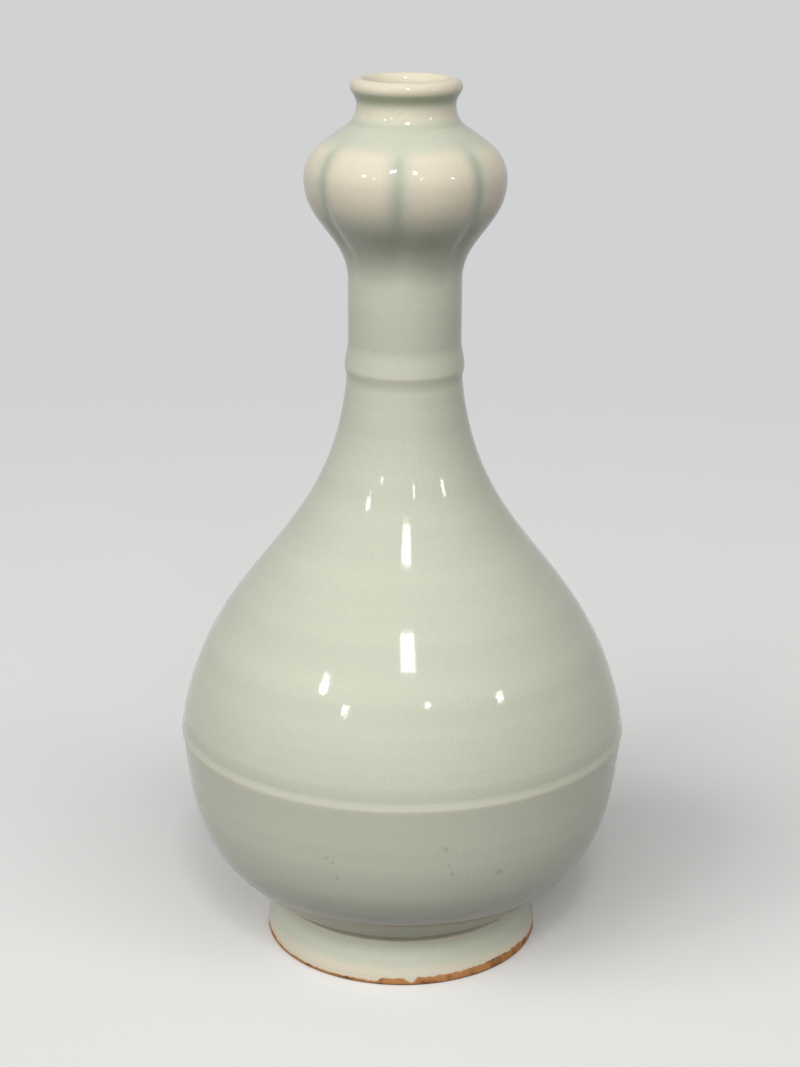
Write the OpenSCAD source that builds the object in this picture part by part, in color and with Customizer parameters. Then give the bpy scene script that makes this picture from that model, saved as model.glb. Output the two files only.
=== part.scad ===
// Garlic head vase in pale celadon stoneware. It is thrown in sections that are luted
// together with clay slip, and a raised string covers the neck seam and the belly seam.
// Millimetres, +Z up the axis, origin at the centre of the foot on the table.

/* [Foot] */
// Diameter of the foot where it flares out to the table
foot_d = 89; // [87:0.5:94]
// Height of the foot from the table to its ledge
foot_h = 14; // [12:0.2:18]
// Width of the ledge that shows around the bowl
ledge_w = 0.7; // [0.5:0.1:1.5]
// Rounding of the ledge
ledge_r = 0.5; // [0.3:0.1:1]
// Pull of the foot's outline at the table
foot_low_pull = 4.5; // [3:0.1:6]
// Pull of the foot's outline at the ledge
foot_high_pull = 4; // [3:0.1:5]
// Lean of the foot's outline at the ledge, in from upright
foot_lean = 25; // [15:1:35]
// Rounding of both edges of the foot rim
foot_edge_r = 0.9; // [0.6:0.1:1.8]
// Width of the flat rim that stands on the table
foot_rim_w = 3; // [2:0.1:4]
// Diameter of the base disc that drops into the foot
base_d = 74; // [70:0.5:75]
// Depth that the base disc drops into the foot
base_drop = 3.6; // [2:0.2:6]

/* [Belly] */
// Diameter of the bowl where it leaves the foot
bowl_low_d = 80.6; // [78:0.2:83]
// Diameter of the straight wall under the belly string
belly_d = 141.6; // [136:0.2:148]
// Height from the ledge of the foot to the straight wall
bowl_rise = 52.4; // [47:0.2:58]
// Height of the straight wall that carries the belly string
belly_straight_h = 13.8; // [12:0.2:16]
// Angle at which the bowl leaves the foot, up from level
bowl_angle = 34; // [28:1:42]
// Pull of the bowl's outline at the foot
bowl_low_pull = 25.4; // [18:0.2:30]
// Lean of the bowl's outline at the belly, out from upright
bowl_high_lean = 5; // [2:0.5:9]
// Pull of the bowl's outline at the belly
bowl_high_pull = 28.4; // [22:0.1:34]
// Thickness of the bowl's wall, and of the shoulder's at the belly
wall_t = 5; // [4:0.1:7]
// Thickness of the floor at the centre
floor_t = 6.6; // [5:0.1:9]

/* [Shoulder] */
// Height from the belly's straight wall to the straight wall of the neck
shoulder_h = 107; // [98:0.5:118]
// Lean of the shoulder's outline at the belly, in from upright
shoulder_low_lean = 12.5; // [8:0.5:16]
// Pull of the shoulder's outline at the belly
shoulder_low_pull = 49.5; // [42:0.5:55]
// Lean of the shoulder's outline at the neck, in from upright
shoulder_high_lean = 8; // [5:0.5:12]
// Pull of the shoulder's outline at the neck
shoulder_high_pull = 55; // [46:0.5:58]

/* [Neck] */
// Diameter of the neck
neck_d = 35.2; // [33.6:0.2:37]
// Diameter of the bore of the neck
neck_bore_d = 26; // [24:0.2:27]
// Height of the straight wall below the neck seam
neck_seat_h = 5.4; // [5:0.1:8]
// Height of the neck from its lower seam to the head
neck_h = 26; // [20:0.2:36]

/* [Head] */
// Diameter over the cloves
head_d = 62; // [58:0.5:66]
// Height from the neck to the widest part of the head
head_low_h = 31; // [27:0.5:36]
// Height from the widest part to the seam with the mouth
head_up_h = 16; // [14:0.5:20]
// Pull of the head's outline at the neck
head_low_pull = 13.7; // [10:0.1:17]
// Pull of the head's outline below the widest part
head_mid_pull = 13.3; // [10:0.1:17]
// Pull of the head's outline above the widest part
head_up_pull = 8.9; // [6:0.1:11]
// Slope of the head's cap at the mouth, up from level
cap_angle = 36; // [28:1:42]
// Pull of the head's cap at the mouth
cap_pull = 7.2; // [5:0.1:9]
// Diameter of the head at the seam with the mouth
head_top_d = 36; // [34.4:0.2:38]
// Thickness of the head's wall at its top
head_wall = 5; // [4:0.1:6]
// Number of cloves
cloves = 7; // [5:1:8]
// Turn of the groove nearest the viewer, to the right of straight ahead
groove_turn = -4; // [-30:1:30]
// Depth of the grooves between the cloves
groove_depth = 0.8; // [0.4:0.1:1.6]
// Width of a groove
groove_w = 5.4; // [3:0.1:8]
// Swell of the middle of a clove over its edges
clove_swell = 0.4; // [0:0.1:1]

/* [Mouth] */
// Diameter of the throat, a straight bore
throat_d = 24; // [22:0.2:25]
// Diameter of the sleeve of the mouth that sits in the head
sleeve_d = 30; // [28.4:0.2:31]
// Depth of the sleeve in the head
sleeve_depth = 4.6; // [3:0.1:5.5]
// Diameter of the collar at its narrowest
collar_d = 30.6; // [29.6:0.2:33]
// Height of the narrowest part of the collar above the seam
collar_h = 7.2; // [6.2:0.1:8.6]
// Pull of the collar's outline at the head
collar_low_pull = 1; // [0.6:0.1:2]
// Pull of the collar's outline at its narrowest part
collar_high_pull = 5; // [3.5:0.1:6]
// Diameter over the rolled lip
lip_d = 34; // [33:0.2:38]
// Height of the lip's widest part above the collar
lip_rise = 4.3; // [3.6:0.1:6]
// Height of the lip's roll above its widest part
lip_roll = 2.5; // [1.8:0.1:3.5]
// Diameter of the lip's crest
lip_crest_d = 28.8; // [27:0.2:30]
// Height of the rounded inner edge of the lip
lip_inner_h = 3.4; // [2.4:0.1:4.5]

/* [Strings] */
// How far the belly string stands out of the wall
belly_string_t = 0.85; // [0.5:0.05:1.6]
// Height of the belly string's crest over its lower edge
belly_crest_h = 6.6; // [5:0.1:8]
// How far the neck string stands out of the wall
neck_string_t = 1.05; // [0.7:0.05:1.8]
// Height of the neck string
neck_string_h = 13.1; // [11:0.1:15]
// Height of the neck string's crest over its lower edge
neck_crest_h = 4.9; // [3.6:0.1:5]
// Pull of a string's outline at its lower edge
string_low_pull = 1.8; // [1:0.1:2.6]
// Pull of a string's outline under its crest
string_under_pull = 1.2; // [0.6:0.1:1.8]
// Pull of a string's outline over its crest
string_over_pull = 3.5; // [2:0.1:4]
// Pull of a string's outline at its upper edge
string_high_pull = 2; // [1:0.1:3]

/* [Seams] */
// Thickness of the slip in a seam
slip_t = 0.4; // [0.3:0.05:0.8]
// Height of the tongue that laps a seam
lap_h = 3; // [2:0.1:4]

/* [Hidden] */
$fn = 96;

// Glaze where it lies thick, over the strings and cloves, and thin on the lip and foot
celadon = "#c3cdb6";
celadon_pale = "#cdd3bf";
celadon_thin = "#dcd8c4";
slip_tone = "#b9a98c";

foot_r = foot_d / 2;
base_r = base_d / 2;
bowl_low_r = bowl_low_d / 2;
// The seat of the bowl on the foot lies outside the bowl's lower edge and outside the foot's bore
seat_r = max(bowl_low_r, base_r + slip_t + ledge_w);
foot_top_r = seat_r + ledge_w;
belly_r = belly_d / 2;
belly_bore_r = belly_r - wall_t;
neck_r = neck_d / 2;
neck_bore_r = neck_bore_d / 2;
neck_wall = neck_r - neck_bore_r;
head_r = head_d / 2;
head_top_r = head_top_d / 2;
mouth_low_r = head_top_r - slip_t;
throat_r = throat_d / 2;
sleeve_r = sleeve_d / 2;
collar_r = collar_d / 2;
lip_r = lip_d / 2;
lip_crest_r = lip_crest_d / 2;

// Levels from the foot up to the lip
base_z = foot_h - base_drop;
floor_z = base_z + floor_t;
bowl_low_z = foot_h + slip_t;
belly_low_z = foot_h + bowl_rise;
belly_seam_z = belly_low_z + belly_straight_h / 2;
belly_high_z = belly_low_z + belly_straight_h;
neck_low_z = belly_high_z + shoulder_h;
neck_seam_z = neck_low_z + neck_seat_h;
head_seam_z = neck_seam_z + neck_h;
head_low_z = head_seam_z + slip_t;
head_wide_z = head_low_z + head_low_h;
mouth_seam_z = head_wide_z + head_up_h;
mouth_low_z = mouth_seam_z + slip_t;
sleeve_z = mouth_seam_z - sleeve_depth;
collar_z = mouth_seam_z + collar_h;
lip_wide_z = collar_z + lip_rise;
lip_top_z = lip_wide_z + lip_roll;

// Lapped seams: height, radius of the bore and radius of the outer wall
belly_seam = [belly_seam_z, belly_bore_r, belly_r];
neck_seam = [neck_seam_z, neck_bore_r, neck_r];
head_seam = [head_seam_z, neck_bore_r, neck_r];

// Steps along a long curve, a short curve and a quarter round
long_steps = 20;
short_steps = 10;
round_steps = 6;
// Steps across half a clove, crowded towards its groove
clove_steps = 7;
clove_crowding = 1.7;
// How far a cutter reaches past the faces that it opens
past = 1;

// A unit step outwards and down, at an angle from upright
function lean(angle) = [sin(angle), -cos(angle)];
// A unit step outwards and up, at an angle from level
function slope(angle) = [cos(angle), sin(angle)];

// Points along a cubic curve from a to d, pulled towards b and c
function curve(a, b, c, d, steps) =
  [for (i = [0:steps])
    let (t = i / steps, u = 1 - t)
    u * u * u * a + 3 * u * u * t * b + 3 * u * t * t * c + t * t * t * d];

// Points on a quarter round about c, with half widths w and h, between two angles
function round_edge(c, w, h, from, to) =
  [for (i = [0:round_steps])
    let (a = from + (to - from) * i / round_steps)
    c + [w * cos(a), h * sin(a)]];

// The inner face of a wall whose outer face rises along pts, t0 thick below and t1 above
function inner_face(pts, t0, t1) =
  let (last = len(pts) - 1)
  [for (i = [0:last])
    let (
      along = pts[min(i + 1, last)] - pts[max(i - 1, 0)],
      out = [along[1], -along[0]] / norm(along))
    pts[i] - (t0 + (t1 - t0) * i / last) * out];

function above(pts, z) = [for (p = pts) if (p[1] > z) p];
function backwards(pts) = [for (i = [len(pts) - 1:-1:0]) pts[i]];

// In a lapped seam the lower section ends in a tongue along the bore, and the upper section
// has the pocket that drops over it. Slip fills the gap between the two
function tongue_r(seam) = (seam[1] + seam[2] - slip_t) / 2;
function pocket_z(seam) = seam[0] + lap_h + slip_t;
function tongue_end(seam) =
  let (z = seam[0], r = tongue_r(seam))
  [[seam[2], z], [r, z], [r, z + lap_h], [seam[1], z + lap_h]];
function pocket_end(seam) =
  let (z = seam[0] + slip_t, r = tongue_r(seam) + slip_t)
  [[seam[1], z + lap_h], [r, z + lap_h], [r, z], [seam[2], z]];

module lap_slip(seam) {
  color(slip_tone) rotate_extrude() polygon(concat(tongue_end(seam), pocket_end(seam)));
}

// Slip around a spigot of the upper section that drops into the lower one at height z
module spigot_slip(z, spigot_r, depth, low_r, high_r) {
  bore_r = spigot_r + slip_t;
  color(slip_tone) rotate_extrude() polygon([
    [low_r, z], [bore_r, z], [bore_r, z - depth],
    [spigot_r, z - depth], [spigot_r, z + slip_t], [high_r, z + slip_t]]);
}

// Outer curves of the sections, each from its lower end to its upper end
foot_low = [foot_r, foot_edge_r];
foot_high = [foot_top_r, foot_h - ledge_r];
foot_curve = curve(
  foot_low,
  foot_low + [0, foot_low_pull],
  foot_high + foot_high_pull * lean(foot_lean),
  foot_high, short_steps);
bowl_curve = curve(
  [bowl_low_r, bowl_low_z],
  [bowl_low_r, bowl_low_z] + bowl_low_pull * slope(bowl_angle),
  [belly_r, belly_low_z] + bowl_high_pull * lean(-bowl_high_lean),
  [belly_r, belly_low_z], long_steps);
shoulder_curve = curve(
  [belly_r, belly_high_z],
  [belly_r, belly_high_z] - shoulder_low_pull * lean(shoulder_low_lean),
  [neck_r, neck_low_z] + shoulder_high_pull * lean(shoulder_high_lean),
  [neck_r, neck_low_z], long_steps);
head_low_curve = curve(
  [neck_r, head_low_z],
  [neck_r, head_low_z + head_low_pull],
  [head_r, head_wide_z - head_mid_pull],
  [head_r, head_wide_z], long_steps);
head_up_curve = curve(
  [head_r, head_wide_z],
  [head_r, head_wide_z + head_up_pull],
  [head_top_r, mouth_seam_z] + cap_pull * slope(-cap_angle),
  [head_top_r, mouth_seam_z], short_steps);
head_curve = concat(head_low_curve, [for (i = [1:short_steps]) head_up_curve[i]]);
collar_curve = curve(
  [mouth_low_r, mouth_low_z],
  [mouth_low_r, mouth_low_z] + collar_low_pull * slope(180 - cap_angle),
  [collar_r, collar_z - collar_high_pull],
  [collar_r, collar_z], short_steps);
lip_curve = curve(
  [collar_r, collar_z],
  [collar_r, collar_z + lip_rise / 3],
  [lip_r, collar_z + lip_rise / 3],
  [lip_r, lip_wide_z], short_steps);

// A low flared ring with a rounded rim, a ledge around the bowl and a bore for the base disc
module foot_ring() {
  rim_in_r = foot_r - 2 * foot_edge_r - foot_rim_w;
  color(celadon_thin) rotate_extrude() polygon(concat(
    round_edge([foot_r - foot_edge_r, foot_edge_r], foot_edge_r, foot_edge_r, -90, 0),
    foot_curve,
    round_edge([foot_top_r - ledge_r, foot_h - ledge_r], ledge_r, ledge_r, 0, 90),
    [[base_r + slip_t, foot_h], [base_r + slip_t, base_z], [rim_in_r, 2 * foot_edge_r]],
    round_edge([rim_in_r + foot_edge_r, foot_edge_r], foot_edge_r, foot_edge_r, 180, 270)));
}

module foot_slip() {
  spigot_slip(foot_h, base_r, base_drop, seat_r, seat_r);
}

// The lower half of the belly, with the floor and the base disc
module belly_bowl() {
  color(celadon) rotate_extrude() polygon(concat(
    [[0, base_z], [base_r, base_z], [base_r, bowl_low_z]],
    bowl_curve,
    tongue_end(belly_seam),
    backwards(inner_face(bowl_curve, wall_t, wall_t)),
    [[0, floor_z]]));
}

module belly_slip() {
  lap_slip(belly_seam);
}

// A raised string on a straight wall of radius r: it leaves the wall below at one lean, turns
// over a crest and meets the wall above at another
module string_band(r, low_z, h, t, crest_h, low_lean, high_lean) {
  low = [r, low_z];
  crest = [r + t, low_z + crest_h];
  high = [r, low_z + h];
  color(celadon_pale) rotate_extrude() polygon(concat(
    curve(low, low - string_low_pull * lean(-low_lean), crest - [0, string_under_pull], crest,
      short_steps),
    curve(crest, crest + [0, string_over_pull], high + string_high_pull * lean(high_lean), high,
      short_steps)));
}

// The belly string covers the straight wall, and carries on the lean of the bowl and the shoulder
module belly_string() {
  string_band(belly_r, belly_low_z, belly_straight_h, belly_string_t, belly_crest_h,
    bowl_high_lean, shoulder_low_lean);
}

// The upper half of the belly, drawn in to the neck
module shoulder() {
  inside = inner_face(shoulder_curve, wall_t, neck_wall);
  color(celadon) rotate_extrude() polygon(concat(
    pocket_end(belly_seam),
    shoulder_curve,
    tongue_end(neck_seam),
    backwards(above(inside, pocket_z(belly_seam)))));
}

module neck_slip() {
  lap_slip(neck_seam);
}

// The neck string's crest lies over the seam
module neck_string() {
  string_band(neck_r, neck_seam_z - neck_crest_h, neck_string_h, neck_string_t, neck_crest_h, 0, 0);
}

module neck() {
  color(celadon) rotate_extrude() polygon(concat(pocket_end(neck_seam), tongue_end(head_seam)));
}

module head_slip() {
  lap_slip(head_seam);
}

// Angles around the head, each with its angle off the nearest groove
clove_angle = 360 / cloves;
clove_offsets = [for (i = [1 - clove_steps:clove_steps])
  sign(i) * pow(abs(i) / clove_steps, clove_crowding) * clove_angle / 2];
head_angles = [for (k = [0:cloves - 1], off = clove_offsets)
  [groove_turn - 90 + k * clove_angle + off, off]];

// How far the head is drawn in from its full outline p at an angle off a groove. The grooves
// die away at the neck and at the mouth
function drawn_in(p, off) =
  let (
    fade = sin(180 * (p[1] - head_low_z) / (mouth_seam_z - head_low_z)),
    aside = p[0] * off * PI / 180,
    groove = groove_depth * exp(-pow(2 * aside / groove_w, 2)),
    edge = clove_swell * (1 + cos(cloves * off)) / 2)
  fade * (groove + edge);

// The cloved outside of the head as a closed solid: a ring of points for each outline point
module cloved_solid() {
  across = len(head_angles);
  rows = len(head_curve);
  points = [for (p = head_curve, a = head_angles)
    let (r = p[0] - drawn_in(p, a[1]))
    [r * cos(a[0]), r * sin(a[0]), p[1]]];
  sides = [for (row = [0:rows - 2], i = [0:across - 1], half = [0, 1])
    let (
      next = (i + 1) % across,
      low = row * across,
      high = low + across)
    half == 0 ? [low + i, high + i, high + next] : [low + i, high + next, low + next]];
  bottom = [for (i = [0:across - 1]) i];
  top = [for (i = [across - 1:-1:0]) (rows - 1) * across + i];
  polyhedron(points, concat(sides, [bottom, top]), convexity = 6);
}

// The bulb, moulded into cloves outside and plain inside
module garlic_head() {
  pocket_r = tongue_r(head_seam) + slip_t;
  opening_r = sleeve_r + slip_t;
  inside = above(inner_face(head_curve, neck_wall, head_wall), pocket_z(head_seam));
  chamber = [for (p = inside) if (p[1] < head_wide_z || p[0] > opening_r) p];
  roof_z = chamber[len(chamber) - 1][1];
  color(celadon_pale) difference() {
    cloved_solid();
    rotate_extrude() polygon(concat(
      [[0, head_low_z - past], [pocket_r, head_low_z - past],
       [pocket_r, pocket_z(head_seam)], [neck_bore_r, pocket_z(head_seam)]],
      chamber,
      [[opening_r, roof_z], [opening_r, mouth_seam_z + past], [0, mouth_seam_z + past]]));
  }
}

module mouth_slip() {
  spigot_slip(mouth_seam_z, sleeve_r, sleeve_depth, head_top_r, mouth_low_r);
}

// The collar and the rolled lip, on a sleeve that sits in the head
module mouth_rim() {
  lip_inner_z = lip_top_z - lip_inner_h;
  color(celadon_thin) difference() {
    rotate_extrude() polygon(concat(
      [[0, sleeve_z], [sleeve_r, sleeve_z], [sleeve_r, mouth_low_z]],
      collar_curve,
      lip_curve,
      round_edge([lip_crest_r, lip_wide_z], lip_r - lip_crest_r, lip_roll, 0, 90),
      round_edge([lip_crest_r, lip_inner_z], lip_crest_r - throat_r, lip_inner_h, 90, 180),
      [[0, lip_inner_z]]));
    translate([0, 0, sleeve_z - past])
      cylinder(r = throat_r, h = lip_inner_z - sleeve_z + 2 * past);
  }
}

foot_ring();
foot_slip();
belly_bowl();
belly_slip();
belly_string();
shoulder();
neck_slip();
neck_string();
neck();
head_slip();
garlic_head();
mouth_slip();
mouth_rim();
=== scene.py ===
# %% [markdown]
# A garlic head vase in celadon. It was thrown on a wheel in sections, joined with clay slip and
# covered with one glassy, pale green glaze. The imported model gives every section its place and
# its size, so this script only loads it and dresses it. It is read first, because all sizes
# below come from it.

# %% Load the frame
from math import atan2, cos, exp, hypot, pi, radians, sin

import bpy
from mathutils import Matrix, Vector


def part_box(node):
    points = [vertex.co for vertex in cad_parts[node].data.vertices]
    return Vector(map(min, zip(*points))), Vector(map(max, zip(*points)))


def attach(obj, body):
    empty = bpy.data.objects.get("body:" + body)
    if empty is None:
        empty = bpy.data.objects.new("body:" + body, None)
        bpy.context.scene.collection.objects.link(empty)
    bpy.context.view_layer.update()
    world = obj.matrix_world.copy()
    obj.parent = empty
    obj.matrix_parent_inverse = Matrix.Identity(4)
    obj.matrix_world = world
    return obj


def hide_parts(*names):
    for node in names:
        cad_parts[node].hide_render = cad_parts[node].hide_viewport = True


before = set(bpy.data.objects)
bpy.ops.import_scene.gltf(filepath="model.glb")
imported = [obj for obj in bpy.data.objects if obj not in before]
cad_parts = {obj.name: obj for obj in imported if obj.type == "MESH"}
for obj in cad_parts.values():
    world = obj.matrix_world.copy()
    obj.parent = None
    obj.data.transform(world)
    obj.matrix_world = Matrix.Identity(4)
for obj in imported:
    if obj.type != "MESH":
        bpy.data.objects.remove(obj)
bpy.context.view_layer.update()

# %% [markdown]
# Millimetres are the potter's unit, so the outlines below are written in them and are turned to
# metres once, when a mesh is made. Each level and radius that a node's box shows is read from
# that box. Only what a box can't show, such as the pull of a curve, is written down here.

# %% Sizes from the frame
MM = 0.001


def reach(node):
    """Lowest level, highest level and greatest radius of a node, in millimetres."""
    low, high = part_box(node)
    return low[2] / MM, high[2] / MM, high[0] / MM


_, foot_top_z, foot_r = reach("foot_ring")
_, bowl_low_z, bowl_low_r = reach("foot_slip")
base_z, _, belly_r = reach("belly_bowl")
belly_seam_z = reach("belly_slip")[0]
neck_seam_z = reach("neck_slip")[0]
head_seam_z, _, neck_r = reach("head_slip")
head_low_z, mouth_seam_z, _ = reach("garlic_head")
_, mouth_low_z, head_top_r = reach("mouth_slip")
sleeve_z, lip_top_z, _ = reach("mouth_rim")
slip_t = head_low_z - head_seam_z
print("foot", round(foot_r, 2), "belly", round(belly_r, 2), "neck", round(neck_r, 2), "mm in radius")

# %% [markdown]
# A thrown pot is one outline, turned once round. The outline is the wall cut through: up the
# outside and down the inside. Its long curves are cubic curves, which need only four points: two
# ends, and two more that pull the ends in their directions. Round edges are quarter rounds.

# %% Curves for the outlines
LONG_STEPS = 72
SHORT_STEPS = 28
ROUND_STEPS = 14


def cubic(a, b, c, d, steps=SHORT_STEPS):
    """Points along a cubic curve from a to d, pulled towards b and c."""
    points = []
    for i in range(steps + 1):
        t = i / steps
        u = 1 - t
        weights = (u ** 3, 3 * u * u * t, 3 * u * t * t, t ** 3)
        points.append(tuple(sum(w * p[k] for w, p in zip(weights, (a, b, c, d))) for k in (0, 1)))
    return points


def quarter(centre, half_w, half_h, start, end):
    """Points on a quarter round between two angles, in degrees."""
    turns = [radians(start + (end - start) * i / ROUND_STEPS) for i in range(ROUND_STEPS + 1)]
    return [(centre[0] + half_w * cos(a), centre[1] + half_h * sin(a)) for a in turns]


def step(point, length, angle):
    """A point at some length from another one, at an angle up from level, in degrees."""
    return point[0] + length * cos(radians(angle)), point[1] + length * sin(radians(angle))


def inner_face(points, low_t, high_t):
    """The inside of a wall whose outside rises along points, low_t thick below and high_t above."""
    last = len(points) - 1
    inside = []
    for i, (r, z) in enumerate(points):
        before = points[max(i - 1, 0)]
        after = points[min(i + 1, last)]
        along = (after[0] - before[0], after[1] - before[1])
        thick = (low_t + (high_t - low_t) * i / last) / hypot(*along)
        inside.append((r - thick * along[1], z + thick * along[0]))
    return inside


print("a long curve has", LONG_STEPS + 1, "points")

# %% [markdown]
# The sections meet in lapped seams: the lower one ends in a tongue along the bore, the upper one
# drops over it, and slip fills the gap. The glaze hides this, so here the outer skins run on over
# the slip and meet at its middle.

# %% Seams
wall_t = 5
neck_bore_r = 13
lap_h = 3
cover_t = 0.25


def tongue_r(bore_r, outer_r):
    """Radius of the tongue that stands up inside a lapped seam."""
    return (bore_r + outer_r - slip_t) / 2


def seam_below(z, bore_r, outer_r):
    """Upper end of a section that stands under a seam, from the skin in to the bore."""
    r = tongue_r(bore_r, outer_r)
    cover_r = outer_r - cover_t
    skin_z = z + slip_t / 2
    return [(outer_r, skin_z), (cover_r, skin_z), (cover_r, z),
            (r, z), (r, z + lap_h), (bore_r, z + lap_h)]


def seam_above(z, bore_r, outer_r):
    """Lower end of a section that sits on a seam, from the bore out to the skin."""
    r = tongue_r(bore_r, outer_r) + slip_t
    cover_r = outer_r - cover_t
    top_z = z + lap_h + slip_t
    skin_z = z + slip_t / 2
    return [(bore_r, top_z), (r, top_z), (r, z + slip_t), (cover_r, z + slip_t), (cover_r, skin_z)]


belly_bore_r = belly_r - wall_t
belly_seam = (belly_seam_z, belly_bore_r, belly_r)
neck_seam = (neck_seam_z, neck_bore_r, neck_r)
head_seam = (head_seam_z, neck_bore_r, neck_r)
print("lapped seams at", [round(seam[0], 1) for seam in (belly_seam, neck_seam, head_seam)], "mm")

# %% [markdown]
# The foot ring flares out to the table. Its rim is flat and its edges are rounded, and its top
# shows as a narrow ledge around the bowl. Its skin is listed from the inside of the rim, round
# under it and up to the ledge.

# %% Outline of the foot
foot_edge_r = 0.9
foot_rim_w = 3
foot_low_pull = 4.5
foot_high_pull = 4
foot_angle = 65
ledge_r = 0.5
ledge_w = 0.7
ledge_top_r = bowl_low_r + ledge_w
rim_in_r = foot_r - 2 * foot_edge_r - foot_rim_w
foot_low = (foot_r, foot_edge_r)
foot_high = (ledge_top_r, foot_top_z - ledge_r)
foot_skin = (
    quarter((rim_in_r + foot_edge_r, foot_edge_r), foot_edge_r, foot_edge_r, 180, 270)
    + quarter((foot_r - foot_edge_r, foot_edge_r), foot_edge_r, foot_edge_r, -90, 0)
    + cubic(
        foot_low, step(foot_low, foot_low_pull, 90), step(foot_high, foot_high_pull, -foot_angle),
        foot_high)[1:]
    + quarter((ledge_top_r - ledge_r, foot_top_z - ledge_r), ledge_r, ledge_r, 0, 90)[1:])
print("foot: ledge", round(ledge_top_r, 1), "mm in radius")

# %% [markdown]
# The bowl is the lower half of the belly and rises from the foot in one long curve, up to the wall
# that carries a raised string.

# %% Outline of the bowl
belly_straight_h = 13.8
bowl_angle = 34
bowl_low_pull = 31.1
bowl_lean = 7
bowl_high_pull = 24.5
belly_low_z = belly_seam_z - belly_straight_h / 2
belly_high_z = belly_low_z + belly_straight_h
bowl_start = (bowl_low_r, bowl_low_z)
bowl_end = (belly_r, belly_low_z)
bowl_curve = cubic(
    bowl_start, step(bowl_start, bowl_low_pull, bowl_angle),
    step(bowl_end, bowl_high_pull, -90 - bowl_lean), bowl_end, LONG_STEPS)
print("bowl from", round(bowl_low_z, 1), "to", round(belly_low_z, 1), "mm")

# %% [markdown]
# The shoulder is the upper half of the belly, drawn in to the neck. It starts a hair narrower than
# the bowl ends, and ends a hair wider than the neck, which is a straight tube.

# %% Outlines of shoulder and neck
neck_seat_h = 5.4
shoulder_low_t = 0.3
shoulder_lean = 12.5
shoulder_low_pull = 49.7
shoulder_top_t = 0.55
shoulder_top_lean = 6
shoulder_top_pull = 53.2
shoulder_start = (belly_r - shoulder_low_t, belly_high_z)
shoulder_end = (neck_r + shoulder_top_t, neck_seam_z - neck_seat_h)
shoulder_curve = cubic(
    shoulder_start, step(shoulder_start, shoulder_low_pull, 90 + shoulder_lean),
    step(shoulder_end, shoulder_top_pull, shoulder_top_lean - 90), shoulder_end, LONG_STEPS)
neck_line = [(neck_r, neck_seam_z + slip_t / 2), (neck_r, head_seam_z + slip_t / 2)]
print("shoulder from", round(belly_high_z, 1), "to", round(shoulder_end[1], 1), "mm")

# %% [markdown]
# A raised string leaves the wall at the lean that the wall has there, turns over a crest and dies
# away in the wall above. On the belly it is narrow, with a slight hollow over it, so it reads as one
# fine ridge. On the neck it is broader, and its end dips a hair under the skin of the neck, which
# runs on behind it. A chain of curves passes through the stops: a point, the inward lean of the wall
# there, and the pulls on the curve before and after.

# %% Outlines of the strings
sink = 0.03
belly_crest_h = 6.9
hollow_h = 9.9
hollow_t = 0.68
hollow_lean = 6
neck_crest_h = 4.3


def chain(*stops):
    """Curve up through stops, each a point, the wall's lean and the pulls before and after it."""
    curve = [stops[0][0]]
    for (low, low_lean, _, low_pull), (high, high_lean, high_pull, _) in zip(stops, stops[1:]):
        curve += cubic(
            low, step(low, low_pull, 90 + low_lean), step(high, high_pull, high_lean - 90), high)[1:]
    return curve


string_z, _, string_r = reach("belly_string")
belly_string_skin = chain(
    (bowl_end, -bowl_lean, 0, 2.4),
    ((string_r, string_z + belly_crest_h), 0, 0.6, 0.8),
    ((string_r - hollow_t, string_z + hollow_h), hollow_lean, 0.8, 1.2),
    (shoulder_start, shoulder_lean, 1.0, 0))
string_z, string_end_z, string_r = reach("neck_string")
neck_string_skin = chain(
    (shoulder_end, shoulder_top_lean, 0, 2.6),
    ((string_r, string_z + neck_crest_h), 0, 0.8, 2.6),
    ((neck_r - sink, string_end_z), 0, 2.5, 0))
for string_skin in (belly_string_skin, neck_string_skin):
    print("a string with its crest at", round(max(string_skin)[1], 1), "mm")

# %% [markdown]
# The garlic head swells from the neck to its widest part and closes over in a low cap.

# %% Outline of the head
head_r = 31
head_low_h = 31
head_low_pull = 13.7
head_wide_pull = 13.3
cap_low_pull = 8.9
cap_high_pull = 7.2
cap_angle = 36
head_start = (neck_r, head_low_z)
head_wide = (head_r, head_low_z + head_low_h)
head_end = (head_top_r, mouth_seam_z)
head_low = cubic(
    head_start, step(head_start, head_low_pull, 90), step(head_wide, head_wide_pull, -90), head_wide,
    LONG_STEPS)
head_cap = cubic(
    head_wide, step(head_wide, cap_low_pull, 90), step(head_end, cap_high_pull, -cap_angle), head_end,
    LONG_STEPS)
head_curve = head_low + head_cap[1:]
print("head widest at", round(head_wide[1], 1), "mm")

# %% [markdown]
# The mouth is a short collar under a rolled lip. Its skin goes up the collar, which is narrowest at
# its top, then out under the lip, over it and down into the throat.

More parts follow.
